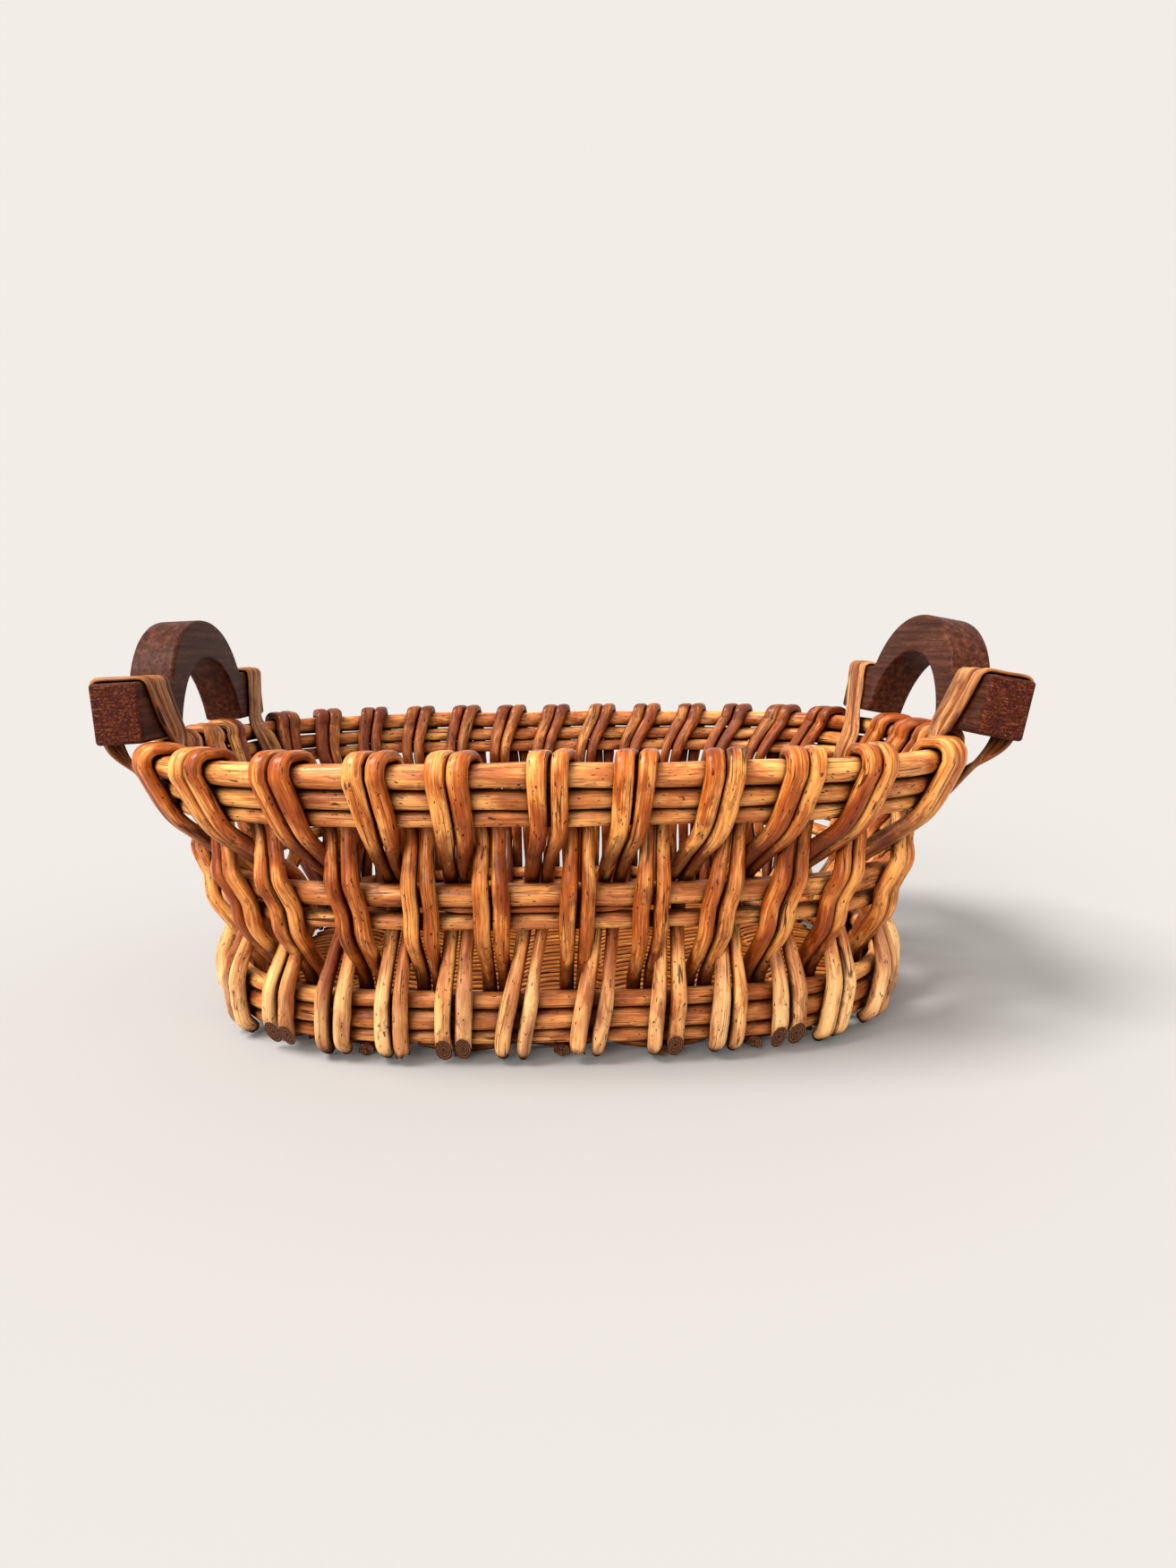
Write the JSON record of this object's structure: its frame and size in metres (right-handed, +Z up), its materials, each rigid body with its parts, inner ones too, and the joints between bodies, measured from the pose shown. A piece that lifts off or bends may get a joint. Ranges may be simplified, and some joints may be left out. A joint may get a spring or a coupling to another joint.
{
  "type": "wicker basket",
  "caption": "Low flared oval basket of varnished willow rods: paired upright stakes loop over stacked rim rods and weave through waist and foot rods; wooden end handles lashed on.",
  "frame": {"origin": "on the resting surface, under the middle of the base", "axes": "+X along the basket's length towards one handle, +Y across its width, +Z up"},
  "size_m": [0.4145, 0.287, 0.1891],
  "materials": {
    "ring_willow": "varnished, satin gloss, fine grain",
    "stake_willow": "varnished, satin gloss, specks and knots",
    "base_stick_willow": "varnished, dull",
    "base_weave_willow": "varnished, dull, fine weave",
    "split_willow": "split rods, satin",
    "handle_wood": "dark stained hardwood, worn satin"
  },
  "bodies": {
    "root": {"rim_rod_1": "ring_willow", "rim_rod_2": "ring_willow", "rim_rod_3": "ring_willow", "waist_rod_1": "ring_willow", "waist_rod_2": "ring_willow", "foot_rod_1": "ring_willow", "foot_rod_2": "ring_willow", "foot_rod_3": "ring_willow", "waist_splice": "ring_willow", "stake_01": "stake_willow", "stake_02": "stake_willow", "stake_03": "stake_willow", "stake_04": "stake_willow", "stake_05": "stake_willow", "stake_06": "stake_willow", "stake_07": "stake_willow", "stake_08": "stake_willow", "stake_09": "stake_willow", "stake_10": "stake_willow", "stake_11": "stake_willow", "stake_12": "stake_willow", "stake_13": "stake_willow", "stake_14": "stake_willow", "stake_15": "stake_willow", "stake_16": "stake_willow", "stake_17": "stake_willow", "stake_18": "stake_willow", "stake_19": "stake_willow", "stake_20": "stake_willow", "stake_21": "stake_willow", "stake_22": "stake_willow", "stake_23": "stake_willow", "stake_24": "stake_willow", "stake_25": "stake_willow", "stake_26": "stake_willow", "stake_27": "stake_willow", "stake_28": "stake_willow", "stake_29": "stake_willow", "stake_30": "stake_willow", "base_stick_1": "base_stick_willow", "base_stick_2": "base_stick_willow", "base_stick_3": "base_stick_willow", "base_stick_4": "base_stick_willow", "base_stick_5": "base_stick_willow", "base_stick_6": "base_stick_willow", "base_stick_7": "base_stick_willow", "base_weave": "base_weave_willow", "handle_left": "handle_wood", "handle_right": "handle_wood", "lashing_left_front": "split_willow", "lashing_left_back": "split_willow", "lashing_right_front": "split_willow", "lashing_right_back": "split_willow"}
  },
  "joints": []
}
